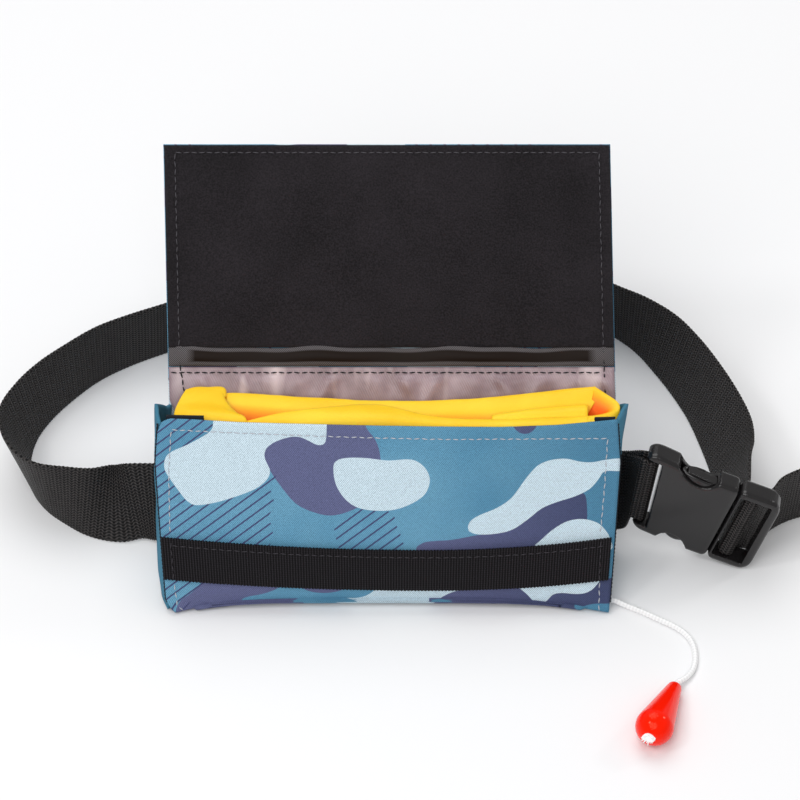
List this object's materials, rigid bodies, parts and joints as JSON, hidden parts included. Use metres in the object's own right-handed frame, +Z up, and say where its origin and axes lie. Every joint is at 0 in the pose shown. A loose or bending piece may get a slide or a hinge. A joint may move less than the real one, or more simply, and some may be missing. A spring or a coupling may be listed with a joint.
{
  "type": "inflatable belt pack",
  "caption": "Open cloth waist pouch with a folded inflatable bladder, a raised flap, a webbing waist belt with side-release buckle, and a pull cord with a drop handle.",
  "frame": {"origin": "on the floor plane, below the middle of the pack's bounding box without its pull cord", "axes": "+X along the pouch towards the buckle, +Y from the front panel towards the waist loop, +Z up"},
  "size_m": [0.392, 0.2986, 0.1517],
  "materials": {
    "camo": "coated woven cloth printed with common camouflage",
    "teal": "coated woven cloth",
    "loop": "brushed loop cloth",
    "satin": "satin ribbon",
    "lining": "satin lining",
    "hook": "ribbed hook tape",
    "binding": "black overlock and tape",
    "bladder": "coated woven cloth, folded",
    "webbing": "woven polypropylene webbing",
    "buckle": "moulded, fine satin",
    "cord": "braided cord",
    "handle": "glossy moulded"
  },
  "bodies": {
    "root": {"pouch_body": "camo", "flap_loop_panel": "loop", "flap_ribbon": "satin", "mouth_lining": "lining", "hook_strip": "hook", "gusset_left": "teal", "gusset_right": "teal", "seam_binding_left": "binding", "seam_binding_right": "binding", "mouth_tape_left": "binding", "mouth_tape_right": "binding", "bladder": "bladder", "buckle_socket": "buckle", "buckle_plug": "buckle", "belt": "webbing", "belt_sleeve": "teal", "pull_cord": "cord", "pull_handle": "handle", "cord_knot": "cord"}
  },
  "joints": []
}
